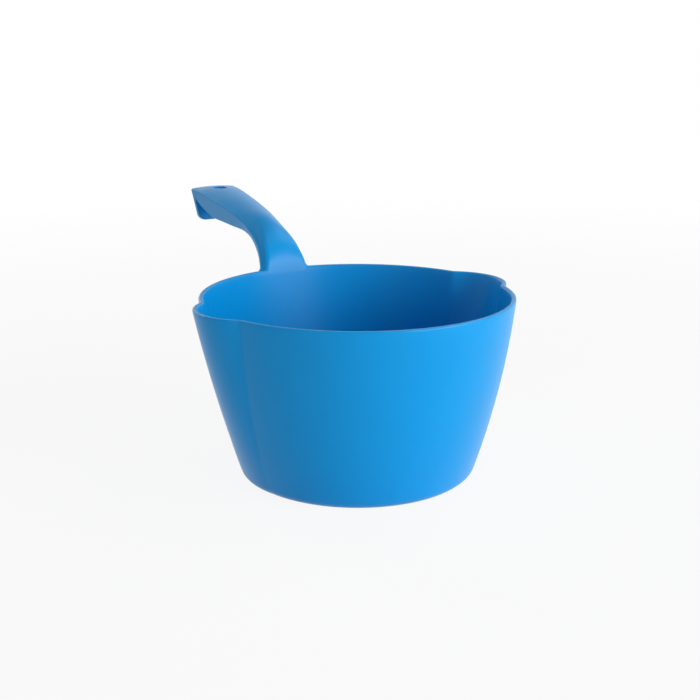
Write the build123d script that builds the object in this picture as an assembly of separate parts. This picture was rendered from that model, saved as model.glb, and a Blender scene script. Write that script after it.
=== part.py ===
from build123d import *
import os
from math import acos, asin, atan2, cos, hypot, radians, sin, sqrt, tan

# Feed scoop: a round bowl with two pouring lips and a goose-neck channel handle, moulded in
# one piece of polypropylene.  Millimetres.  The origin is the centre of the underside, +Z is
# up, the handle points to +Y and the lips to -X and +X.  The moulding is modelled whole and
# then divided into its natural sections, which meet face to face.

# ---- bowl -------------------------------------------------------------------------------
RIM_RADIUS = 95.0           # outside of the wall at the brim
BOWL_HEIGHT = 110.4         # underside to brim
BASE_RADIUS = 71.3          # where the outside of the wall would meet the underside
WALL_BULGE = 3.2            # how far the wall's profile bows out of a straight line
WALL = 3.0                  # wall thickness
FLOOR = 3.0                 # floor thickness
BASE_CORNER = 5.2           # outside radius between wall and underside
FLOOR_CORNER = 2.6          # inside radius between wall and floor
BRIM_EDGE = 1.2             # rounding of the brim's outer and inner edge

# ---- pouring lips -----------------------------------------------------------------------
LIP_ANGLE_BASE = 14.0       # half the lip's angle round the axis, at the underside
LIP_ANGLE_BRIM = 16.4       # and at the brim
LIP_REACH_BASE = 0.7        # how far the lip stands out of the round wall, at the underside
LIP_REACH_BRIM = 9.5        # and at the brim
LIP_FLARE = 1.5             # power of the height with which the reach grows
LIP_CREASE = 1.6            # outside radius of the groove on each side of a lip
LIP_LEVELS = 6              # outlines that the wall is drawn through

# ---- handle -----------------------------------------------------------------------------
HANDLE_REACH = 111.5        # brim to the end of the handle, along Y
HANDLE_RISE = 43.2          # brim to the highest point of the handle, along Z
NECK_WIDTH = 26.4           # across the handle where it is narrowest, behind the neck
ROOT_FLARE = 4.6            # extra half width where the neck meets the brim
END_FLARE = 4.2             # extra half width at the end
HANDLE_WALL = 3.0           # thickness of the channel's top and sides
SHOULDER = 7.0              # half width of the crown's middle stretch along the grip
SHOULDER_ROOT = 14.0        # and at the root
ROOT_DISH = 1.1             # hollow of the root's front, which follows the bowl's inside
ROOT_DEPTH = 2.0            # how far the handle's root is let into the brim
# Lines of the side view.  Near the brim a point is given by how far it lies behind the
# brim's outside and above the brim, near the end by how far before the end and below the top.
RIDGE_NECK = ((-WALL / 2, -ROOT_DEPTH), (2.6, 6.6), (9.0, 13.6), (20.0, 20.3), (36.0, 27.3))
RIDGE_GRIP = ((51.5, 9.5), (30.0, 5.4), (14.0, 2.8), (0.0, 1.5))
CROWN_NECK = ((-WALL, -ROOT_DEPTH), (-2.1, 5.6), (2.6, 15.3), (11.0, 23.8), (23.0, 29.8))
CROWN_GRIP = ((64.5, 8.0), (33.0, 2.2), (20.0, 0.6), (10.0, 0.0), (0.0, 0.4))
REAR_NECK = ((0.4, -ROOT_DEPTH), (7.1, 6.9), (14.9, 12.0), (23.9, 17.6), (34.0, 20.2))
SKIRT_LEVEL = 22.6          # height of the skirts' lower edge above the brim, at its highest
SKIRT_DRAFT = 12.5          # lean of the skirts and of the tongue's side edges, degrees
SKIRT_CORNER = 56.0         # radius that lifts the skirts' rear lower corner
SKIRT_CORNER_RUN = 38.0     # length of that corner, back from the end
TONGUE_DROP = 24.6          # highest point to the lower edge of the hanging end tongue
TONGUE_CORNER = 5.0         # radius of the tongue's lower corners
HOLE_DIAMETER = 10.0        # hang hole
HOLE_INSET = 13.0           # centre of the hole from the end
ROOT_SHARE = 0.3            # share of the run over which the root's shoulders melt away
ROOT_FLARE_POWER = 3.2      # how fast the root's flare dies away
CHANNEL_SHARE = 0.06        # share of the run where the channel starts
STATIONS = 12               # cross-sections that the handle is drawn through
FAN_SHARE = 0.4             # share of the run where the section planes fan round the neck
FAN_HUB = 5.0               # gap between the hub of that fan and the bottom of the sections

# ---- where the moulding is divided into its sections --------------------------------------
LIP_MARGIN = 1.8            # degrees between a lip's groove and the cut beside it
NECK_LENGTH = 34.0          # neck section, brim to cut, along Y
END_LENGTH = 29.0           # end section, cut to end, along Y

SAME = 1e-3                 # tolerance for picking edges by position
HALVINGS = 24               # steps in finding where a line passes a plane
FAR = 400.0                 # reach of the bodies that cut the moulding

TOP_Z = BOWL_HEIGHT + HANDLE_RISE
END_Y = RIM_RADIUS + HANDLE_REACH


def wall_radius(z):
    """Outside radius of the round wall at height z: a flat arc that bows outwards."""
    run, rise = RIM_RADIUS - BASE_RADIUS, BOWL_HEIGHT
    chord = hypot(run, rise)
    arc = (chord * chord / 4 + WALL_BULGE * WALL_BULGE) / (2 * WALL_BULGE)
    centre_r = (RIM_RADIUS + BASE_RADIUS) / 2 + rise / chord * (WALL_BULGE - arc)
    centre_z = rise / 2 - run / chord * (WALL_BULGE - arc)
    return centre_r + sqrt(arc * arc - (z - centre_z) ** 2)


def bowl_outline(z, inset):
    """Outline of the bowl at height z, moved inwards by inset: two round stretches, two
    lip arcs and the four grooves between them, as one face."""
    share = z / BOWL_HEIGHT
    radius = wall_radius(z)
    angle = radians(LIP_ANGLE_BASE + (LIP_ANGLE_BRIM - LIP_ANGLE_BASE) * share)
    reach = LIP_REACH_BASE + (LIP_REACH_BRIM - LIP_REACH_BASE) * share ** LIP_FLARE
    half = radius * sin(angle)
    sagitta = radius + reach - radius * cos(angle)
    lip = (half * half + sagitta * sagitta) / (2 * sagitta)
    centre = radius + reach - lip
    far = radius + LIP_CREASE
    turn = acos((far ** 2 + centre ** 2 - (lip + LIP_CREASE) ** 2) / (2 * far * centre))
    groove = Vector(far * cos(turn), far * sin(turn))
    to_lip = (groove - Vector(centre, 0)).normalized()
    on_wall = Vector(cos(turn), sin(turn)) * (radius - inset)
    on_lip = Vector(centre, 0) + to_lip * (lip - inset)
    in_groove = groove - (to_lip + Vector(cos(turn), sin(turn))).normalized() * (LIP_CREASE + inset)
    tip = Vector(centre + lip - inset, 0)
    side = Vector(0, radius - inset)

    def placed(point, flip_x, flip_y):
        return Vector(point.X * flip_x, point.Y * flip_y, z)

    edges = []
    for x, y in ((1, 1), (-1, -1)):
        edges += [
            ThreePointArc(placed(on_lip, x, -y), placed(tip, x, 1), placed(on_lip, x, y)),
            ThreePointArc(placed(on_lip, x, y), placed(in_groove, x, y), placed(on_wall, x, y)),
            ThreePointArc(placed(on_wall, x, y), placed(side, 1, y), placed(on_wall, -x, y)),
            ThreePointArc(placed(on_wall, -x, y), placed(in_groove, -x, y), placed(on_lip, -x, y)),
        ]
    return Face(Wire(edges))


def bowl_body(inset, bottom, top):
    """Solid drawn through the bowl's outlines between two heights."""
    levels = [bottom + (top - bottom) * i / (LIP_LEVELS - 1) for i in range(LIP_LEVELS)]
    return loft([bowl_outline(z, inset) for z in levels])


def level_edges(solid, z):
    """Edges that lie in the level z."""
    return solid.edges().filter_by_position(Axis.Z, z - SAME, z + SAME)


def bowl():
    """The bowl in one piece: outer form less the inner one, corners and brim rounded."""
    outer = bowl_body(0, 0, BOWL_HEIGHT)
    outer = fillet(level_edges(outer, 0), BASE_CORNER)
    inner = bowl_body(WALL, FLOOR, BOWL_HEIGHT)
    inner = fillet(level_edges(inner, FLOOR), FLOOR_CORNER)
    shell = outer - inner
    return fillet(level_edges(shell, BOWL_HEIGHT), BRIM_EDGE)


def side_points(neck, grip):
    """Points of a line of the side view, from the brim to the end."""
    points = [(0, RIM_RADIUS + back, BOWL_HEIGHT + up) for back, up in neck]
    return points + [(0, END_Y - before, TOP_Z - below) for before, below in grip]


def ridge_line():
    """Side view of the handle's ridges, the edges between its top and its skirts."""
    return Spline(side_points(RIDGE_NECK, RIDGE_GRIP))


def crown_line():
    """Side view of the middle of the handle's top, which the bowl's inner wall runs into."""
    return Spline(side_points(CROWN_NECK, CROWN_GRIP))


def crossing(line, origin, along):
    """Point where a line of the side view passes the plane through origin, square to along."""
    low, high = 0.0, 1.0
    for _ in range(HALVINGS):
        middle = (low + high) / 2
        if (line @ middle - origin).dot(along) > 0:
            high = middle
        else:
            low = middle
    return line @ high


def station(share):
    """Origin and direction of the section plane at a share of the run: the planes fan out
    behind the neck from level to upright, and then follow the grip to its end."""
    turn = radians(90) * min(1, share / FAN_SHARE)
    travel = max(0, share - FAN_SHARE) / (1 - FAN_SHARE) * (HANDLE_REACH - NECK_LENGTH)
    origin = Vector(0, RIM_RADIUS + NECK_LENGTH + travel, BOWL_HEIGHT - ROOT_DEPTH)
    return origin, Vector(0, sin(turn), cos(turn))


def half_width(y):
    """Half width of the handle, which flares towards the brim and towards its end."""
    root = max(0, RIM_RADIUS + NECK_LENGTH - y) / (NECK_LENGTH + ROOT_DEPTH)
    end = max(0, y - RIM_RADIUS - NECK_LENGTH) / (HANDLE_REACH - NECK_LENGTH)
    return NECK_WIDTH / 2 + ROOT_FLARE * root ** ROOT_FLARE_POWER + END_FLARE * end


def handle_section(share, inset):
    """Cross-section at a share of the handle's run: a crowned top with shoulders, and two
    deep sides.  The shoulders are square at the root and melt into the crown further on."""
    origin, along = station(share)
    up = Vector(1, 0, 0).cross(along)
    ridge = crossing(ridge_line(), origin, along)
    crown = crossing(crown_line(), origin, along)
    rise = (crown - ridge).dot(up)
    root = max(0, 1 - share / ROOT_SHARE)
    full_width = half_width(ridge.Y)
    width = full_width - inset
    shoulder = SHOULDER + (SHOULDER_ROOT - SHOULDER) * root ** 1.5
    shoulder *= width / full_width
    crowning = (1 - root) * rise * (shoulder / width) ** 2 - ROOT_DISH * root ** 2
    start = atan2(2 * crowning, shoulder) + radians(40) * root
    finish = atan2(2 * rise, width) + radians(25) * root
    a, d = Vector(shoulder, rise - crowning), Vector(width, 0)
    reach = (d - a).length / 3
    b = a + Vector(cos(start), -sin(start)) * reach
    c = d - Vector(cos(finish), -sin(finish)) * reach
    right = Bezier(a, b, c, d)
    left = Bezier(*[Vector(-p.X, p.Y) for p in (a, b, c, d)])
    top = ThreePointArc(Vector(-a.X, a.Y), Vector(0, rise), a)
    low = FAN_HUB - (ridge - up * inset - origin).dot(up)
    foot = width + low * tan(radians(SKIRT_DRAFT))
    sides = Polyline((width, 0), (foot, low), (-foot, low), (-width, 0))
    plane = Plane(ridge - up * inset, x_dir=(1, 0, 0), z_dir=-along)
    return plane * Face(Wire([top, right, left] + sides.edges()))


def handle_form(inset, first, count):
    """Solid drawn through the handle's sections from a share of its run to its end."""
    shares = [first + (1 - first) * i / (count - 1) for i in range(count)]
    return loft([handle_section(share, inset) for share in shares])


def side_region():
    """Side view of the handle above its lower edge, as a slab across the handle."""
    level = BOWL_HEIGHT + SKIRT_LEVEL
    start = END_Y - SKIRT_CORNER_RUN
    rear_points = side_points(REAR_NECK, ())
    rear = Spline(rear_points)
    turn = asin(SKIRT_CORNER_RUN / SKIRT_CORNER)
    corner = ThreePointArc(
        (0, start, level),
        (0, start + SKIRT_CORNER * sin(turn / 2), level + SKIRT_CORNER * (1 - cos(turn / 2))),
        (0, END_Y, level + SKIRT_CORNER * (1 - cos(turn))),
    )
    frame = Polyline(
        (0, END_Y, level + SKIRT_CORNER * (1 - cos(turn))),
        (0, END_Y, TOP_Z + HANDLE_WALL),
        (0, RIM_RADIUS - NECK_WIDTH, TOP_Z + HANDLE_WALL),
        (0, RIM_RADIUS - NECK_WIDTH, BOWL_HEIGHT - ROOT_DEPTH),
        rear_points[0],
    )
    edge = Line(rear_points[-1], (0, start, level))
    outline = Wire([rear, edge, corner] + frame.edges())
    return extrude(Face(outline), NECK_WIDTH, dir=(1, 0, 0), both=True)


def tongue():
    """End wall that closes the channel and hangs below it, narrower at the bottom."""
    half = NECK_WIDTH / 2 + END_FLARE
    top, low = TOP_Z - RIDGE_GRIP[-1][1], TOP_Z - TONGUE_DROP
    slant = tan(radians(SKIRT_DRAFT)) * (top - low)
    plane = Plane.XZ.offset(-END_Y)
    outline = plane * Polyline(
        (-half, top), (half, top), (half - slant, low), (-half + slant, low), close=True
    )
    plate = extrude(Face(Wire(outline.edges())), HANDLE_WALL, dir=(0, -1, 0))
    corners = [e for e in plate.edges() if e.bounding_box().size.Y > HANDLE_WALL - SAME]
    corners = [e for e in corners if e.center().Z < low + SAME]
    return fillet(corners, TONGUE_CORNER)


def handle():
    """The handle in one piece, from its root in the brim to its end."""
    outer = handle_form(0, 0, STATIONS) & side_region()
    channel = handle_form(HANDLE_WALL, CHANNEL_SHARE, STATIONS)
    channel &= Pos(0, END_Y - HANDLE_WALL - FAR / 2, 0) * Box(FAR, FAR, 2 * FAR)
    hole = Pos(0, END_Y - HOLE_INSET, TOP_Z) * Cylinder(HOLE_DIAMETER / 2, 4 * HANDLE_WALL)
    return outer - channel + tongue() - hole


def wedge(start, stop):
    """Upright body over the sector between two angles round the bowl's axis."""
    turn = radians(stop - start)
    outer = FAR / cos(turn / 4)
    angles = [radians(start) + turn * i / 4 for i in range(5)]
    corners = [(0, 0)] + [(outer * cos(a), outer * sin(a)) for a in angles]
    sector = Face(Wire(Polyline(*corners, close=True).edges()))
    return Pos(0, 0, -FAR) * extrude(sector, 2 * FAR)


def slab(low, high, axis):
    """Everything between two places along Y or Z, as a box."""
    middle = (low + high) / 2
    if axis == "Y":
        return Pos(0, middle, 0) * Box(2 * FAR, high - low, 2 * FAR)
    return Pos(0, 0, middle) * Box(2 * FAR, 2 * FAR, high - low)


def sections():
    """The moulding divided into its named sections."""
    moulding = bowl() + handle()
    deck = FLOOR + FLOOR_CORNER
    side = LIP_ANGLE_BRIM + LIP_MARGIN
    bowl_part = moulding & slab(deck, BOWL_HEIGHT, "Z")
    handle_part = moulding & slab(BOWL_HEIGHT, FAR, "Z")
    neck_y, end_y = RIM_RADIUS + NECK_LENGTH, END_Y - END_LENGTH
    return {
        "bowl_floor": moulding & slab(-FAR, deck, "Z"),
        "bowl_wall_front": bowl_part & wedge(side - 180, -side),
        "bowl_wall_back": bowl_part & wedge(side, 180 - side),
        "pouring_lip_left": bowl_part & wedge(180 - side, 180 + side),
        "pouring_lip_right": bowl_part & wedge(-side, side),
        "handle_neck": handle_part & slab(-FAR, neck_y, "Y"),
        "handle_grip": handle_part & slab(neck_y, end_y, "Y"),
        "handle_end": handle_part & slab(end_y, FAR, "Y"),
    }


if __name__ == "__main__":
    os.makedirs("parts", exist_ok=True)
    for name, shape in sections().items():
        print(name, shape.is_valid, len(shape.solids()), round(shape.volume), shape.bounding_box())
        export_step(shape, f"parts/{name}.step")
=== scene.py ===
"""Dresses the feed scoop: a round bowl with two pouring lips and a goose-neck channel
handle, moulded in one piece of blue polypropylene."""

import logging
from dataclasses import dataclass, field
from enum import Enum
from math import acos, atan2, cos, hypot, pi, radians, sin, sqrt, tan

import bmesh
import bpy
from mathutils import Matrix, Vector


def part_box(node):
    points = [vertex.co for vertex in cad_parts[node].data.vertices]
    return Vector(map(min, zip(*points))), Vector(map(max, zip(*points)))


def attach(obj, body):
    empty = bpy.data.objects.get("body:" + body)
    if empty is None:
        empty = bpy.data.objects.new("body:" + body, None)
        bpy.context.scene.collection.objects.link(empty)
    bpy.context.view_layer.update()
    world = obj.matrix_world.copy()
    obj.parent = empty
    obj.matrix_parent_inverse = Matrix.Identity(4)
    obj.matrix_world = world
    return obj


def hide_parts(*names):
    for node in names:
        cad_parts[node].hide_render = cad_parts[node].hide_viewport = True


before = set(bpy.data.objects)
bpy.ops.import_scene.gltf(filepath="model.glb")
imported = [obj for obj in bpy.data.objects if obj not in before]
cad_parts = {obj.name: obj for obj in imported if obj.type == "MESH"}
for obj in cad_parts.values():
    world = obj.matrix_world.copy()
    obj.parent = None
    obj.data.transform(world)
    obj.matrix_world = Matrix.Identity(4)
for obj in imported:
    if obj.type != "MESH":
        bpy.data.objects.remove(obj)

LOG = logging.getLogger("feed_scoop")
Pairs = tuple[tuple[float, float], ...]

MM = 0.001
WHITE = (1.0, 1.0, 1.0, 1.0)

# Points of a mesh closer together than this are merged, in millimetres.
CLOSEST = 0.004
# A side shorter than this has no direction of its own, in millimetres.
NO_LENGTH = 1e-6
# The greatest share of a side that a rounding takes up.
ROUNDING_SHARE = 0.7
# Points of the line within this many times the rounding's reach give way to it.
ROUNDING_ROOM = 1.05
ROUNDING_STEPS = 6


def corners(node_name: str) -> tuple[Vector, Vector]:
    """Give a CAD node's lowest and highest corners in millimetres.

    Args:
        node_name: Name of the node.

    Returns:
        The lowest and the highest corner.
    """
    low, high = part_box(node_name)
    return Vector(low) / MM, Vector(high) / MM


def linear(hex_colour: str) -> tuple[float, float, float, float]:
    """Turn an sRGB hex value into linear red, green, blue and alpha.

    Args:
        hex_colour: Six hex digits, with or without a leading #.

    Returns:
        The linear colour.
    """
    digits = hex_colour.lstrip("#")
    parts = [int(digits[i:i + 2], 16) / 255 for i in (0, 2, 4)]
    values = [p / 12.92 if p <= 0.04045 else ((p + 0.055) / 1.055) ** 2.4 for p in parts]
    return (*values, 1.0)


def add_node(
    tree: bpy.types.NodeTree,
    kind: str,
    settings: dict[str, object] | None = None,
    inputs: dict[str | int, object] | None = None,
) -> bpy.types.Node:
    """Add a node with its settings, and set or link its inputs.

    Args:
        tree: Node tree that gets the node.
        kind: Blender's name of the node's type.
        settings: Properties of the node.
        inputs: Socket name or number to a constant, or to an output socket that is linked
            to it.

    Returns:
        The new node.
    """
    node = tree.nodes.new(kind)
    for name, value in (settings or {}).items():
        setattr(node, name, value)
    for name, value in (inputs or {}).items():
        socket = node.inputs[name]
        if isinstance(value, bpy.types.NodeSocket):
            tree.links.new(value, socket)
        else:
            socket.default_value = value
    return node


def sight(tree: bpy.types.NodeTree) -> bpy.types.NodeSocket:
    """Tell the rays that see a background from those that only carry its light.

    Args:
        tree: Node tree that gets the nodes.

    Returns:
        A socket that is 1 for the camera's rays, reflections and rays through glass.
    """
    path = add_node(tree, "ShaderNodeLightPath")
    mirrored = add_node(
        tree, "ShaderNodeMath", {"operation": "MAXIMUM"},
        {0: path.outputs["Is Glossy Ray"], 1: path.outputs["Is Transmission Ray"]},
    )
    either = add_node(
        tree, "ShaderNodeMath", {"operation": "MAXIMUM"},
        {0: path.outputs["Is Camera Ray"], 1: mirrored.outputs[0]},
    )
    return either.outputs[0]


@dataclass(frozen=True)
class MouldedPolypropylene:
    """Injection-moulded polypropylene, dyed through.  Sizes in millimetres.

    The eye sees an even deep colour with a broad soft sheen, because the mould's fine grain
    spreads the reflections, and faint cloudy bands where the melt flowed.  The real grain's
    size isn't known, and it is drawn coarse enough to show.
    """

    name: str
    colour: str
    pale_colour: str
    roughness: float
    roughness_swing: float = 0.03
    grain_size: float = 0.5
    grain_depth: float = 0.006
    grain_strength: float = 0.35
    flow_size: float = 38.0
    refraction: float = 1.49
    gloss: float = 0.22

    def material(self) -> bpy.types.Material:
        """Make the material.

        Returns:
            The node-based material.
        """
        made = bpy.data.materials.new(self.name)
        made.use_nodes = True
        tree = made.node_tree
        tree.nodes.clear()
        place = add_node(tree, "ShaderNodeTexCoord")
        flow = add_node(
            tree, "ShaderNodeTexNoise", {"noise_dimensions": "3D"},
            {"Vector": place.outputs["Object"], "Scale": 1 / (self.flow_size * MM),
             "Detail": 3.0, "Roughness": 0.55},
        )
        # A mix's colours are its sockets 6 and 7, and the mixed colour is its output 2.
        tint = add_node(
            tree, "ShaderNodeMix", {"data_type": "RGBA"},
            {"Factor": flow.outputs["Fac"], 6: linear(self.colour), 7: linear(self.pale_colour)},
        )
        dull = add_node(
            tree, "ShaderNodeMapRange", None,
            {"Value": flow.outputs["Fac"], "From Min": 0.25, "From Max": 0.75,
             "To Min": self.roughness - self.roughness_swing,
             "To Max": self.roughness + self.roughness_swing},
        )
        grain = add_node(
            tree, "ShaderNodeTexNoise", {"noise_dimensions": "3D"},
            {"Vector": place.outputs["Object"], "Scale": 1 / (self.grain_size * MM),
             "Detail": 2.0, "Roughness": 0.6},
        )
        bump = add_node(
            tree, "ShaderNodeBump", None,
            {"Height": grain.outputs["Fac"], "Strength": self.grain_strength,
             "Distance": self.grain_depth * MM},
        )
        shader = add_node(
            tree, "ShaderNodeBsdfPrincipled", None,
            {"Base Color": tint.outputs[2], "Roughness": dull.outputs["Result"],
             "IOR": self.refraction, "Specular IOR Level": self.gloss,
             "Normal": bump.outputs["Normal"]},
        )
        add_node(tree, "ShaderNodeOutputMaterial", None, {"Surface": shader.outputs["BSDF"]})
        return made


def sweep(mesh: bmesh.types.BMesh, loops: list[list[Vector]]) -> None:
    """Draw a skin through closed loops with the same number of points.

    Args:
        mesh: Mesh that gets the skin.
        loops: The loops, in order; each is a list of points.
    """
    ring = [mesh.verts.new(point) for point in loops[0]]
    edges = [mesh.edges.new((ring[i - 1], ring[i])) for i in range(len(ring))]
    for loop in loops[1:]:
        grown = bmesh.ops.extrude_edge_only(mesh, edges=edges)["geom"]
        fresh = {item for item in grown if isinstance(item, bmesh.types.BMVert)}
        ring = [
            next(edge.other_vert(vert) for edge in vert.link_edges
                 if edge.other_vert(vert) in fresh)
            for vert in ring
        ]
        for vert, point in zip(ring, loop):
            vert.co = point
        edges = [mesh.edges.get((ring[i - 1], ring[i])) for i in range(len(ring))]


def close_ends(mesh: bmesh.types.BMesh) -> None:
    """Close every open loop of a mesh with one face, and turn all faces outwards.

    Args:
        mesh: Mesh in millimetres, open at its ends.
    """
    bmesh.ops.holes_fill(mesh, edges=[e for e in mesh.edges if e.is_boundary], sides=0)
    bmesh.ops.remove_doubles(mesh, verts=mesh.verts, dist=CLOSEST)
    bmesh.ops.recalc_face_normals(mesh, faces=mesh.faces)


def finish_object(mesh: bmesh.types.BMesh, name: str) -> bpy.types.Object:
    """Make an object of a mesh in millimetres.

    Args:
        mesh: Mesh in millimetres; it is freed.
        name: Name of the object.

    Returns:
        The new object, at the origin, in metres.
    """
    bmesh.ops.scale(mesh, vec=(MM, MM, MM), verts=mesh.verts)
    data = bpy.data.meshes.new(name)
    mesh.to_mesh(data)
    mesh.free()
    made = bpy.data.objects.new(name, data)
    bpy.context.scene.collection.objects.link(made)
    return made


def shade(piece: bpy.types.Object, sharp: float) -> None:
    """Shade a piece smooth, apart from its sharp edges.

    Args:
        piece: The piece.
        sharp: Angle in degrees past which an edge is sharp.
    """
    piece.data.shade_smooth()
    piece.data.set_sharp_from_angle(angle=radians(sharp))


class Solver(Enum):
    """The ways to work out a cut, in the order in which they are tried."""

    EXACT = "EXACT"
    FAST = "FAST"


def with_hole(body: bpy.types.Object, cutter: bpy.types.Object) -> bpy.types.Object:
    """Cut another closed mesh out of a body, and remove that other object.

    A solver can lose the body's skin.  A cut is kept only if it leaves more than half as many
    faces as there were, and if neither solver's does, the body stays whole.

    Args:
        body: Object that is cut.
        cutter: Object that is cut out.

    Returns:
        The body.
    """
    step = body.modifiers.new("hole", "BOOLEAN")
    step.operation = "DIFFERENCE"
    step.object = cutter
    whole = body.data
    for solver in Solver:
        step.solver = solver.value
        graph = bpy.context.evaluated_depsgraph_get()
        made = bpy.data.meshes.new_from_object(body.evaluated_get(graph))
        if len(made.polygons) > len(whole.polygons) / 2:
            made.name = body.name
            body.data = made
            break
        LOG.warning("the %s solver lost %s", solver.value, body.name)
    body.modifiers.clear()
    bpy.data.objects.remove(cutter)
    return body


def with_shell(body: bpy.types.Object, other: bpy.types.Object) -> bpy.types.Object:
    """Add another closed mesh to a body as a shell of its own, and remove that other object.

    What the cut left of very short edges in the body is merged first.

    Args:
        body: Object that is added to.
        other: Object whose mesh reaches into the body's material.

    Returns:
        The body with both shells.
    """
    mesh = bmesh.new()
    mesh.from_mesh(body.data)
    bmesh.ops.remove_doubles(mesh, verts=mesh.verts, dist=CLOSEST * MM)
    bmesh.ops.dissolve_degenerate(mesh, edges=mesh.edges, dist=CLOSEST * MM)
    mesh.from_mesh(other.data)
    mesh.to_mesh(body.data)
    mesh.free()
    bpy.data.objects.remove(other)
    return body


def quarter_turns(start: float, stop: float, count: int) -> list[float]:
    """Give evenly spaced angles from start to stop, both in degrees, as radians."""
    return [radians(start + (stop - start) * i / count) for i in range(count + 1)]


def shrunk(loop: list[Vector], share: float) -> list[Vector]:
    """Draw a level loop in towards the Z axis, to a share of its size."""
    return [Vector((p.x * share, p.y * share, p.z)) for p in loop]


@dataclass
class Bowl:
    """The tapered bowl with its two pouring lips.  Millimetres and degrees."""

    name: str = "scoop_bowl"
    base_radius: float = 71.3
    wall_bulge: float = 3.2
    wall: float = 3.0
    floor: float = 3.0
    base_corner: float = 5.2
    floor_corner: float = 2.6
    brim_edge: float = 1.2
    lip_angle_base: float = 14.0
    lip_angle_brim: float = 16.4
    lip_reach_base: float = 0.7
    lip_flare: float = 1.5
    lip_crease: float = 3.4
    crease_growth: float = 2.0
    lip_points: int = 14
    crease_points: int = 9
    wall_points: int = 56
    levels: int = 36
    base_steps: int = 10
    brim_steps: int = 5
    floor_steps: int = 8
    disc_shares: tuple[float, ...] = (0.04, 0.2, 0.4, 0.6, 0.8, 0.94)
    sharp: float = 40.0
    rim_loss: float = 0.1
    lip_loss: float = 0.3
    rim_radius: float = field(init=False)
    height: float = field(init=False)
    lip_reach_brim: float = field(init=False)

    def __post_init__(self) -> None:
        """Take the outer sizes from the CAD nodes, and add what their rounded brim takes off."""
        wall_low, wall_high = corners("bowl_wall_front")
        lip_high = corners("pouring_lip_right")[1]
        self.height = wall_high.z
        self.rim_radius = round(-wall_low.y, 1) + self.rim_loss
        self.lip_reach_brim = round(lip_high.x, 1) + self.lip_loss - self.rim_radius

    def wall_radius(self, z: float) -> float:
        """Give the outside radius of the round wall, a flat arc that bows outwards.

        Args:
            z: Height above the underside.

        Returns:
            The radius.
        """
        run, rise = self.rim_radius - self.base_radius, self.height
        chord = hypot(run, rise)
        arc = (chord * chord / 4 + self.wall_bulge ** 2) / (2 * self.wall_bulge)
        centre_r = (self.rim_radius + self.base_radius) / 2
        centre_r += rise / chord * (self.wall_bulge - arc)
        centre_z = rise / 2 - run / chord * (self.wall_bulge - arc)
        return centre_r + sqrt(arc * arc - (z - centre_z) ** 2)

    def outline(self, z: float, inset: float) -> list[Vector]:
        """Give the closed outline at height z, moved inwards by inset.

        Args:
            z: Height above the underside.
            inset: Distance inside the outer surface.

        Returns:
            Points once round, anticlockwise from the +X lip's tip.
        """
        share = min(1.0, max(0.0, z / self.height))
        radius = self.wall_radius(z)
        angle = radians(self.lip_angle_base + (self.lip_angle_brim - self.lip_angle_base) * share)
        growth = (self.lip_reach_brim - self.lip_reach_base) * share ** self.lip_flare
        reach = self.lip_reach_base + growth
        half = radius * sin(angle)
        sagitta = radius + reach - radius * cos(angle)
        lip = (half * half + sagitta * sagitta) / (2 * sagitta)
        centre = radius + reach - lip
        crease = self.lip_crease + self.crease_growth * inset
        far = radius - inset + crease
        turn = acos((far ** 2 + centre ** 2 - (lip - inset + crease) ** 2) / (2 * far * centre))
        groove = Vector((far * cos(turn), far * sin(turn), 0))
        lip_turn = atan2(groove.y, groove.x - centre)
        quarter = []
        for i in range(self.lip_points):
            a = lip_turn * i / self.lip_points
            quarter.append(Vector((centre + (lip - inset) * cos(a), (lip - inset) * sin(a), z)))
        for i in range(self.crease_points):
            a = lip_turn + (turn - lip_turn) * i / self.crease_points
            quarter.append(Vector((groove.x - crease * cos(a), groove.y - crease * sin(a), z)))
        for i in range(self.wall_points + 1):
            a = turn + (pi / 2 - turn) * i / self.wall_points
            quarter.append(Vector(((radius - inset) * cos(a), (radius - inset) * sin(a), z)))
        half_turn = quarter + [Vector((-p.x, p.y, z)) for p in reversed(quarter[:-1])]
        return half_turn + [Vector((p.x, -p.y, z)) for p in reversed(half_turn[1:-1])]

    def profile(self) -> list[tuple[float, float]]:
        """Give the wall's profile, from the underside over the brim to the floor.

        Returns:
            Pairs of height and inset.
        """
        top, edge = self.height, self.brim_edge
        points = [
            (self.base_corner * (1 - sin(a)), self.base_corner * (1 - cos(a)))
            for a in quarter_turns(90, 0, self.base_steps)
        ]
        low, high = self.base_corner, top - edge
        points += [(low + (high - low) * i / self.levels, 0.0) for i in range(1, self.levels)]
        points += [
            (top - edge + edge * sin(a), edge * (1 - cos(a)))
            for a in quarter_turns(0, 90, self.brim_steps)
        ]
        points += [
            (top - edge + edge * cos(a), self.wall - edge + edge * sin(a))
            for a in quarter_turns(0, 90, self.brim_steps)
        ]
        low = self.floor + self.floor_corner
        points += [
            (high - (high - low) * i / self.levels, self.wall) for i in range(1, self.levels)
        ]
        points += [
            (self.floor + self.floor_corner * (1 - sin(a)),
             self.wall + self.floor_corner * (1 - cos(a)))
            for a in quarter_turns(0, 90, self.floor_steps)
        ]
        return points

    def build(self) -> bpy.types.Object:
        """Build the bowl's skin.

        Returns:
            The bowl as a closed mesh.
        """
        loops = [self.outline(z, inset) for z, inset in self.profile()]
        under = [shrunk(loops[0], share) for share in self.disc_shares]
        over = [shrunk(loops[-1], share) for share in reversed(self.disc_shares)]
        mesh = bmesh.new()
        sweep(mesh, under + loops + over)
        close_ends(mesh)
        made = finish_object(mesh, self.name)
        shade(made, self.sharp)
        return made


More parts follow.
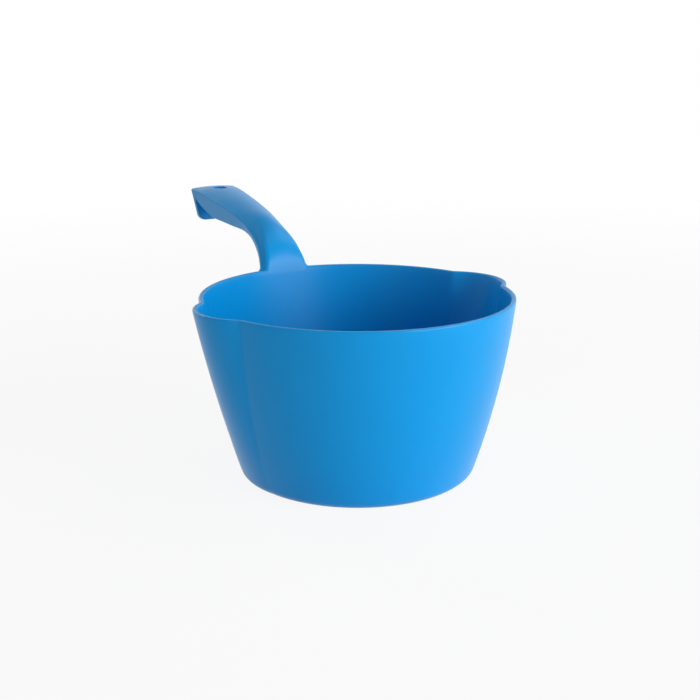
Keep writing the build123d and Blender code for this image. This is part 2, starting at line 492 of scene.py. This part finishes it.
@dataclass
class Handle:
    """The goose-neck channel handle with its end tongue and hang hole.  Millimetres and degrees.

    The ridge, the crown and the lower edge are lines of the side view.  A neck's pairs say how
    far a point lies behind the brim's outside and above the brim, and a grip's how far it lies
    before the end and below the top.
    """

    name: str = "scoop_handle"
    reach: float = 111.5
    rise: float = 43.2
    neck_width: float = 26.4
    root_flare: float = 4.6
    end_flare: float = 4.2
    wall: float = 3.0
    shoulder: float = 7.0
    shoulder_root: float = 14.0
    shoulder_power: float = 1.5
    root_dish: float = 1.1
    root_depth: float = 2.0
    skirt_level: float = 22.6
    skirt_draft: float = 12.5
    skirt_corner: float = 56.0
    skirt_corner_run: float = 38.0
    tongue_drop: float = 24.6
    tongue_corner: float = 4.0
    tongue_corner_steps: int = 8
    hole_diameter: float = 10.0
    hole_inset: float = 13.0
    hole_cut: float = 24.0
    hole_facets: int = 64
    neck_length: float = 34.0
    root_share: float = 0.3
    root_flare_power: float = 3.2
    fan_share: float = 0.4
    ridge_neck: Pairs = (
        (-1.5, -2.0), (2.6, 6.6), (9.0, 13.6), (20.0, 20.3), (36.0, 27.3))
    ridge_grip: Pairs = (
        (51.5, 9.5), (30.0, 5.4), (14.0, 2.8), (0.0, 1.5))
    crown_neck: Pairs = (
        (-3.5, -2.0), (-2.1, 5.6), (2.6, 15.3), (11.0, 23.8), (23.0, 29.8))
    crown_grip: Pairs = (
        (64.5, 8.0), (33.0, 2.2), (20.0, 0.6), (10.0, 0.0), (0.0, 0.4))
    rear_neck: Pairs = (
        (0.4, -2.0), (7.1, 6.9), (14.9, 12.0), (23.9, 17.6), (34.0, 20.2))
    flank_form: Pairs = (
        (0.0, 0.0), (0.34, 0.12), (0.75, -0.06), (1.0, 0.0))
    flank_softening: float = 0.05
    flank_gain: float = 1.6
    shoulder_turn: float = 40.0
    ridge_turn: float = 25.0
    tongue_set_back: float = 0.04
    tongue_sunk: float = 1.3
    root_web: float = 1.4
    ridge_round: float = 1.5
    lower_round: float = 0.8
    sharp: float = 35.0
    stations: int = 110
    shoulder_steps: int = 10
    flank_steps: int = 24
    skirt_steps: int = 6
    lower_round_steps: int = 4
    skirt_corner_steps: int = 8
    rim_radius: float = field(init=False)
    brim: float = field(init=False)
    end_y: float = field(init=False)
    top_z: float = field(init=False)
    ridge: list[Vector] = field(init=False)
    crown: list[Vector] = field(init=False)
    lower: list[Vector] = field(init=False)

    def __post_init__(self) -> None:
        """Take the places from the CAD nodes and draw the lines of the side view."""
        self.brim = corners("bowl_wall_front")[1].z
        self.end_y = round(corners("handle_end")[1].y, 1)
        self.rim_radius = self.end_y - self.reach
        self.top_z = self.brim + self.rise
        self.ridge = side_curve(self.side_points(self.ridge_neck, self.ridge_grip))
        self.crown = side_curve(self.side_points(self.crown_neck, self.crown_grip))
        level = self.brim + self.skirt_level
        start = self.end_y - self.skirt_corner_run
        corner = []
        for i in range(1, self.skirt_corner_steps + 1):
            run = self.skirt_corner_run * i / self.skirt_corner_steps
            lift = self.skirt_corner - sqrt(self.skirt_corner ** 2 - run ** 2)
            corner.append((start + run, level + lift))
        rear = self.side_points(self.rear_neck, ())
        middle = ((rear[-1][0] + start) / 2, (rear[-1][1] + level) / 2)
        self.lower = side_curve([*rear, middle, (start, level), *corner])

    def side_points(self, neck: Pairs, grip: Pairs) -> list[tuple[float, float]]:
        """Give the points of a line of the side view, from the brim to the end.

        Args:
            neck: Pairs of how far a point lies behind the brim's outside and above the brim.
            grip: Pairs of how far a point lies before the end and below the top.

        Returns:
            Pairs of y and z.
        """
        points = [(self.rim_radius + back, self.brim + up) for back, up in neck]
        return points + [(self.end_y - before, self.top_z - below) for before, below in grip]

    def station(self, share: float) -> tuple[Vector, Vector, Vector]:
        """Give the section plane at a share of the handle's run.

        Args:
            share: From 0 at the root to 1 at the end.

        Returns:
            A point of the plane, the direction along the handle, and the way up in the plane.
        """
        turn = radians(90) * min(1.0, share / self.fan_share)
        travel = max(0.0, share - self.fan_share) / (1 - self.fan_share)
        travel *= self.reach - self.neck_length
        origin = Vector((0, self.rim_radius + self.neck_length + travel,
                         self.brim - self.root_depth))
        return origin, Vector((0, sin(turn), cos(turn))), Vector((0, -cos(turn), sin(turn)))

    def half_width(self, y: float) -> float:
        """Give the half width, which flares towards the brim and towards the end.

        Args:
            y: Place along the handle.

        Returns:
            Half of the width at the ridges.
        """
        waist = self.rim_radius + self.neck_length
        root = max(0.0, waist - y) / (self.neck_length + self.root_depth)
        end = max(0.0, y - waist) / (self.reach - self.neck_length)
        return (self.neck_width / 2 + self.root_flare * root ** self.root_flare_power
                + self.end_flare * end)

    def top_half(self, share: float, width: float, rise: float, full: float) -> list[Vector]:
        """Give the right half of a section's top, from the middle out to the ridge.

        Args:
            share: Share of the handle's run.
            width: Half width of this surface.
            rise: Height of the middle over the ridges.
            full: Half width of the outer surface.

        Returns:
            Points with x across and y up from the ridge's level.
        """
        root = max(0.0, 1 - share / self.root_share)
        shoulder = (self.shoulder
                    + (self.shoulder_root - self.shoulder) * root ** self.shoulder_power)
        shoulder *= width / full
        crowning = (1 - root) * rise * (shoulder / width) ** 2 - self.root_dish * root ** 2
        start = atan2(2 * crowning, shoulder) + radians(self.shoulder_turn) * root
        finish = atan2(2 * rise, width) + radians(self.ridge_turn) * root
        # The flank runs from the shoulder, a, to the ridge, d, and is drawn towards b and c.
        a, d = Vector((shoulder, rise - crowning)), Vector((width, 0))
        pull = (d - a).length / 3
        b = a + Vector((cos(start), -sin(start))) * pull
        c = d - Vector((cos(finish), -sin(finish))) * pull
        points = []
        for i in range(self.shoulder_steps):
            x = shoulder * i / self.shoulder_steps
            points.append(Vector((x, rise - crowning * (x / shoulder) ** 2)))
        creased = min(1.0, root * self.flank_gain)
        chord = d - a
        out = Vector((-chord.y, chord.x))
        for i in range(self.flank_steps + 1):
            t = i / self.flank_steps
            s = 1 - t
            smooth = a * s ** 3 + b * 3 * s * s * t + c * 3 * s * t * t + d * t ** 3
            step = a + chord * t + out * softened(self.flank_form, t, self.flank_softening)
            points.append(smooth.lerp(step, creased))
        return points

    def section(self, share: float) -> list[Vector]:
        """Give the closed cross-section of the channel at a share of the run.

        Args:
            share: From 0 at the root to 1 at the end.

        Returns:
            Points once round the section, in space.
        """
        origin, along, up = self.station(share)
        ridge = crossing(self.ridge, origin, along)
        crown = crossing(self.crown, origin, along)
        lower = crossing(self.lower, origin, along)
        rise = (crown - ridge).dot(up)
        low = (lower - ridge).dot(up)
        # A quarter round widens the neck where it meets the brim.
        height = min(self.root_web, max(0.0, ridge.z - self.brim))
        web = self.root_web - sqrt(self.root_web ** 2 - (self.root_web - height) ** 2)
        full = self.half_width(ridge.y) + web
        inner_width = full - web - self.wall
        lean = tan(radians(self.skirt_draft))
        outer_foot = full + low * lean
        inner_foot = inner_width + min(0.0, low + self.wall) * lean
        outer = rounded_corner(
            self.top_half(share, full, rise, full), Vector((outer_foot, low)), self.ridge_round
        )
        inner = self.top_half(share, inner_width, rise, full)
        inner = [p - Vector((0, self.wall)) for p in inner]
        inner = rounded_corner(inner, Vector((inner_foot, low)), self.ridge_round)
        inner = [Vector((p.x, max(p.y, low))) for p in inner]
        depth = max(0.0, inner[-2].y - low)
        r = min(self.lower_round, -low / 2)
        q = min(self.lower_round, depth)
        outer.pop()
        inner.pop()
        foot = [Vector((outer_foot - r * (1 - cos(a)) + r * lean, low + r * (1 - sin(a))))
                for a in quarter_turns(0, 90, self.lower_round_steps)]
        foot += [Vector((inner_foot + q * (1 - cos(a)) + q * lean, low + q * (1 - sin(a))))
                 for a in quarter_turns(90, 0, self.lower_round_steps)]
        half = outer + side_run(outer[-1], foot[0], self.skirt_steps) + foot
        half += side_run(foot[-1], inner[-1], self.skirt_steps) + list(reversed(inner))
        whole = half + [Vector((-p.x, p.y)) for p in reversed(half[1:-1])]
        return [ridge + Vector((p.x, 0, 0)) + up * p.y for p in whole]

    def tongue(self) -> bpy.types.Object:
        """Build the end wall that closes the channel and hangs below it.

        It reaches into the channel's skin, set back a little from its outside and sunk below
        its ridges, so that no two faces lie in one plane.

        Returns:
            The tongue as a closed mesh.
        """
        ridge = self.top_z - self.ridge_grip[-1][1]
        high, low = ridge - self.tongue_sunk, self.top_z - self.tongue_drop
        flat = []
        for side, z in ((-1, high), (1, high), (1, low), (-1, low)):
            half = self.half_width(self.end_y) - (ridge - z) * tan(radians(self.skirt_draft))
            flat.append(Vector((side * (half - self.tongue_set_back),
                                self.end_y - self.tongue_set_back, z)))
        mesh = bmesh.new()
        face = mesh.faces.new([mesh.verts.new(p) for p in flat])
        low_corners = [v for v in face.verts if v.co.z < (low + high) / 2]
        bmesh.ops.bevel(mesh, geom=low_corners, offset=self.tongue_corner,
                        segments=self.tongue_corner_steps, profile=0.5, affect="VERTICES",
                        material=-1)
        grown = bmesh.ops.extrude_face_region(mesh, geom=list(mesh.faces))["geom"]
        back = [item for item in grown if isinstance(item, bmesh.types.BMVert)]
        bmesh.ops.translate(mesh, verts=back, vec=(0, -self.wall, 0))
        bmesh.ops.recalc_face_normals(mesh, faces=mesh.faces)
        return finish_object(mesh, "scoop_tongue")

    def hole(self) -> bpy.types.Object:
        """Build the cutter of the hang hole.

        Returns:
            A closed cylinder that passes right through the top.
        """
        mesh = bmesh.new()
        radius = self.hole_diameter / 2
        bmesh.ops.create_cone(mesh, cap_ends=True, segments=self.hole_facets, radius1=radius,
                              radius2=radius, depth=self.hole_cut)
        place = Vector((0, self.end_y - self.hole_inset, self.top_z))
        bmesh.ops.translate(mesh, verts=mesh.verts, vec=place)
        return finish_object(mesh, "scoop_hole")

    def build(self) -> bpy.types.Object:
        """Build the handle's skin.

        Returns:
            The handle as two closed shells, the channel's and the tongue's.
        """
        shares = [i / self.stations for i in range(self.stations + 1)]
        mesh = bmesh.new()
        sweep(mesh, [self.section(share) for share in shares])
        close_ends(mesh)
        made = finish_object(mesh, self.name)
        made = with_hole(made, self.hole())
        made = with_shell(made, self.tongue())
        shade(made, self.sharp)
        return made


def side_curve(points: list[tuple[float, float]], steps: int = 24) -> list[Vector]:
    """Draw a smooth line through points of the side view.

    Args:
        points: Pairs of y and z.
        steps: Steps from each of the points to the next.

    Returns:
        Closely spaced points of the line, x being 0.
    """
    knots = [Vector((0, y, z)) for y, z in points]
    spans = [(b - a).length for a, b in zip(knots, knots[1:])]
    slopes = [(b - a) / s for a, b, s in zip(knots, knots[1:], spans)]
    tangents = [slopes[0]]
    for i in range(1, len(knots) - 1):
        before, after = spans[i - 1], spans[i]
        tangents.append((slopes[i - 1] * after + slopes[i] * before) / (before + after))
    tangents.append(slopes[-1])
    line = []
    for i, span in enumerate(spans):
        for step in range(steps):
            t = step / steps
            line.append(
                knots[i] * (2 * t ** 3 - 3 * t * t + 1)
                + tangents[i] * span * (t ** 3 - 2 * t * t + t)
                + knots[i + 1] * (3 * t * t - 2 * t ** 3)
                + tangents[i + 1] * span * (t ** 3 - t * t)
            )
    return line + [knots[-1]]


def crossing(line: list[Vector], origin: Vector, along: Vector) -> Vector:
    """Find where a line passes the plane through origin that is square to along.

    Args:
        line: Points of the line, in the order in which it passes the planes.
        origin: A point of the plane.
        along: The plane's direction.

    Returns:
        The crossing, or the end that is nearest to it.
    """
    places = [(point - origin).dot(along) for point in line]
    for i in range(1, len(line)):
        if places[i] >= 0:
            if places[i - 1] >= 0:
                return line[i - 1].copy()
            share = -places[i - 1] / (places[i] - places[i - 1])
            return line[i - 1].lerp(line[i], share)
    return line[-1].copy()


def rounded_corner(points: list[Vector], foot: Vector, radius: float) -> list[Vector]:
    """Round the corner at the end of a line of points, from which a side goes to a foot.

    Args:
        points: The line, whose last point is the corner.
        foot: Where the side goes.
        radius: Radius of the rounding.

    Returns:
        The line up to the rounding, the rounding, and the foot as the last point.
    """
    corner = points[-1]
    back = (points[-2] - corner).normalized()
    side = foot - corner
    down = side.normalized() if side.length > NO_LENGTH else Vector((0, -1))
    half = back.angle(down) / 2
    reach = min(radius / tan(half), side.length * ROUNDING_SHARE)
    start = corner + back * reach
    stop = corner + down * reach
    kept = [p for p in points if (p - corner).length > reach * ROUNDING_ROOM]
    # Every section needs the same number of points, so those that gave way are put back.
    last, missing = kept[-1], len(points) - len(kept)
    kept += [last.lerp(start, i / (missing + 1)) for i in range(1, missing + 1)]
    curve = []
    for i in range(ROUNDING_STEPS + 1):
        t = i / ROUNDING_STEPS
        curve.append(start * (1 - t) ** 2 + corner * 2 * t * (1 - t) + stop * t * t)
    return kept + curve + [foot]


def height_at(knots: Pairs, place: float) -> float:
    """Give the height of a line of straight runs, which is level past its ends.

    Args:
        knots: Pairs of place and height.
        place: Where the height is asked for.

    Returns:
        The height.
    """
    for (left, low), (right, high) in zip(knots, knots[1:]):
        if place <= right:
            return low + (high - low) * max(0.0, place - left) / (right - left)
    return knots[-1][1]


def softened(knots: Pairs, place: float, reach: float) -> float:
    """Give the height of a line of straight runs whose corners are softened.

    Args:
        knots: Pairs of place and height.
        place: Where the height is asked for.
        reach: How far the softening reaches on each side of a corner.

    Returns:
        The height.
    """
    reach = min(reach, place - knots[0][0], knots[-1][0] - place)
    sides = height_at(knots, place - reach) + height_at(knots, place + reach)
    return sides / 4 + height_at(knots, place) / 2


def side_run(start: Vector, stop: Vector, count: int) -> list[Vector]:
    """Give the points between two ends that part the way into count equal steps."""
    return [start.lerp(stop, i / count) for i in range(1, count)]


@dataclass(frozen=True)
class SoftLamp:
    """A rectangular soft lamp that faces the scoop.  Metres, degrees and watts.

    The azimuth turns from the front, -Y, towards +X.  A lamp that isn't reflected lights the
    scoop and leaves no sheen on it.
    """

    name: str
    azimuth: float
    elevation: float
    size: tuple[float, float]
    power: float
    distance: float = 1.5
    reflected: bool = True


@dataclass
class Studio:
    """Pale floor, soft lights, white surroundings and the camera.  Sizes in metres.

    The surroundings' light is a band round the horizon, whose bottom and top are given as the
    height of a direction of length 1.  The floor glows white to the eye, a little less near
    the scoop, where the board's own shading shows through.
    """

    band_bottom: float = -0.01
    band_top: float = 0.46
    band_strength: float = 0.62
    lamps: tuple[SoftLamp, ...] = (
        SoftLamp("key_softbox", 28.0, 14.0, (1.25, 1.0), 23.0),
        SoftLamp("top_softbox", 0.0, 89.0, (0.9, 0.9), 1.8),
        SoftLamp("side_softbox", 90.0, 55.0, (0.8, 0.8), 3.8),
        SoftLamp("left_front_fill", -60.0, 12.0, (0.8, 0.8), 2.8, reflected=False),
        SoftLamp("left_back_fill", -120.0, 12.0, (0.8, 0.8), 2.0, reflected=False),
        SoftLamp("rim_softbox", -165.0, 29.0, (0.45, 0.45), 3.0),
        SoftLamp("back_fill", 180.0, 15.0, (0.8, 0.8), 1.2),
    )
    floor_size: float = 8.0
    floor_colour: str = "#E6E6E6"
    floor_glow: float = 0.9
    shading_near: float = 0.25
    shading_far: float = 1.4
    camera_place: tuple[float, float, float] = (-0.3501, -0.5758, 0.2576)
    camera_ahead: tuple[float, float, float] = (0.4961, 0.8280, -0.2615)
    lens: float = 58.9
    sensor: float = 36.0
    aim: tuple[float, float, float] = (0.0, 0.03, 0.07)

    def floor(self) -> bpy.types.Object:
        """Lay the floor under the scoop.

        Returns:
            The floor.
        """
        mesh = bmesh.new()
        bmesh.ops.create_grid(mesh, x_segments=2, y_segments=2, size=self.floor_size / 2)
        data = bpy.data.meshes.new("studio_floor")
        mesh.to_mesh(data)
        mesh.free()
        made = bpy.data.objects.new("studio_floor", data)
        bpy.context.scene.collection.objects.link(made)
        paint = bpy.data.materials.new("matt_white_board")
        paint.use_nodes = True
        tree = paint.node_tree
        tree.nodes.clear()
        board = add_node(tree, "ShaderNodeBsdfDiffuse", None,
                         {"Color": linear(self.floor_colour)})
        glow = add_node(tree, "ShaderNodeEmission", None, {"Color": WHITE, "Strength": 1.0})
        place = add_node(tree, "ShaderNodeTexCoord")
        distance = add_node(tree, "ShaderNodeVectorMath", {"operation": "LENGTH"},
                            {0: place.outputs["Object"]})
        fade = add_node(
            tree, "ShaderNodeMapRange", {"interpolation_type": "SMOOTHSTEP"},
            {"Value": distance.outputs["Value"], "From Min": self.shading_near,
             "From Max": self.shading_far, "To Min": self.floor_glow, "To Max": 1.0},
        )
        share = add_node(tree, "ShaderNodeMath", {"operation": "MULTIPLY"},
                         {0: sight(tree), 1: fade.outputs["Result"]})
        mixed = add_node(tree, "ShaderNodeMixShader", None,
                         {0: share.outputs[0], 1: board.outputs[0], 2: glow.outputs[0]})
        add_node(tree, "ShaderNodeOutputMaterial", None, {"Surface": mixed.outputs[0]})
        data.materials.append(paint)
        return made

    def surroundings(self) -> None:
        """Make the surroundings white to the eye and in reflections.

        The light that they cast comes only from low down, so that the bowl is darker inside.
        """
        world = bpy.data.worlds.new("studio_world")
        bpy.context.scene.world = world
        world.use_nodes = True
        tree = world.node_tree
        tree.nodes.clear()
        place = add_node(tree, "ShaderNodeTexCoord")
        axes = add_node(tree, "ShaderNodeSeparateXYZ", None, {0: place.outputs["Generated"]})
        band = add_node(
            tree, "ShaderNodeMapRange", {"interpolation_type": "SMOOTHSTEP"},
            {"Value": axes.outputs["Z"], "From Min": self.band_bottom,
             "From Max": self.band_top, "To Min": self.band_strength, "To Max": 0.0},
        )
        light = add_node(tree, "ShaderNodeBackground", None,
                         {"Color": WHITE, "Strength": band.outputs["Result"]})
        seen = add_node(tree, "ShaderNodeBackground", None, {"Color": WHITE, "Strength": 1.0})
        mixed = add_node(tree, "ShaderNodeMixShader", None,
                         {0: sight(tree), 1: light.outputs[0], 2: seen.outputs[0]})
        add_node(tree, "ShaderNodeOutputWorld", None, {"Surface": mixed.outputs[0]})

    def lamp(self, lamp: SoftLamp) -> bpy.types.Object:
        """Hang a soft lamp that faces the scoop.

        Args:
            lamp: The lamp's place, size and power.

        Returns:
            The lamp.
        """
        data = bpy.data.lights.new(lamp.name, "AREA")
        data.shape = "RECTANGLE"
        data.size, data.size_y = lamp.size
        data.energy = lamp.power
        turn, rise = radians(lamp.azimuth), radians(lamp.elevation)
        away = Vector((sin(turn) * cos(rise), -cos(turn) * cos(rise), sin(rise)))
        made = bpy.data.objects.new(lamp.name, data)
        made.location = Vector(self.aim) + away * lamp.distance
        made.rotation_euler = (-away).to_track_quat("-Z", "Y").to_euler()
        made.visible_camera = False
        made.visible_glossy = lamp.reflected
        bpy.context.scene.collection.objects.link(made)
        return made

    def camera(self) -> bpy.types.Object:
        """Set up the camera.

        Returns:
            The camera.
        """
        data = bpy.data.cameras.new("studio_camera")
        data.lens = self.lens
        data.sensor_width = self.sensor
        made = bpy.data.objects.new("studio_camera", data)
        made.location = self.camera_place
        made.rotation_euler = Vector(self.camera_ahead).to_track_quat("-Z", "Y").to_euler()
        bpy.context.scene.collection.objects.link(made)
        bpy.context.scene.camera = made
        return made

    def build(self) -> None:
        """Build the whole studio."""
        self.camera()
        self.floor()
        self.surroundings()
        for lamp in self.lamps:
            self.lamp(lamp)
        bpy.context.scene.view_settings.view_transform = "Standard"


def dress(piece: bpy.types.Object, finish: bpy.types.Material, nodes: list[str]) -> None:
    """Give a piece its finish and body, and hide the CAD nodes that it stands for.

    Args:
        piece: The piece.
        finish: Its material.
        nodes: Names of the CAD nodes that it replaces.
    """
    piece.data.materials.clear()
    piece.data.materials.append(finish)
    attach(piece, "root")
    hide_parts(*nodes)
    LOG.info("%s: %d faces", piece.name, len(piece.data.polygons))


def main() -> None:
    """Build the studio and the scoop, and log how many faces each piece has."""
    logging.basicConfig(level=logging.INFO)
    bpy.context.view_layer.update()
    Studio().build()
    finish = MouldedPolypropylene(
        "moulded_polypropylene_blue", colour="#0093DA", pale_colour="#0099E0", roughness=0.33
    ).material()
    dress(Bowl().build(), finish, ["bowl_floor", "bowl_wall_front", "bowl_wall_back",
                                   "pouring_lip_left", "pouring_lip_right"])
    dress(Handle().build(), finish, ["handle_neck", "handle_grip", "handle_end"])
    bpy.context.view_layer.update()


if __name__ == "__main__":
    main()
